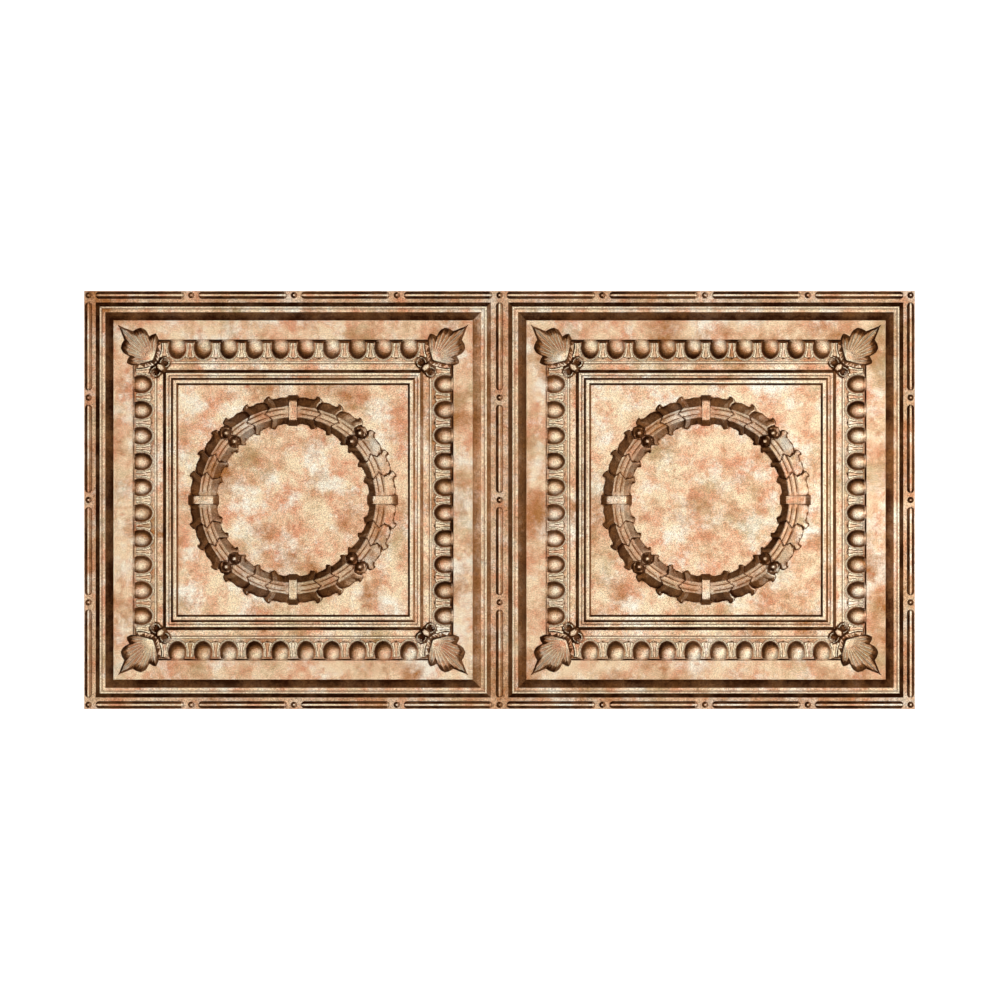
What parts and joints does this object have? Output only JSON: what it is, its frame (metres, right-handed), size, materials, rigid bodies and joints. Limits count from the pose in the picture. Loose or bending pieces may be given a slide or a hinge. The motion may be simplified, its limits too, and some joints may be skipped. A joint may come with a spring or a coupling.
{
  "type": "ceiling tile",
  "caption": "Rectangular embossed vinyl ceiling tile: square coffers side by side, each an egg-and-dart frame with corner leaves round a laurel wreath, in an antique copper print.",
  "frame": {"origin": "middle of the tile, on the plane of the flange's back", "axes": "+X along the long side, +Y along the short side, +Z out of the embossed face"},
  "size_m": [1.2276, 0.618, 0.0165],
  "materials": {
    "vinyl": "antique copper print, satin"
  },
  "bodies": {
    "root": {"ceiling_tile": "vinyl"}
  },
  "joints": []
}
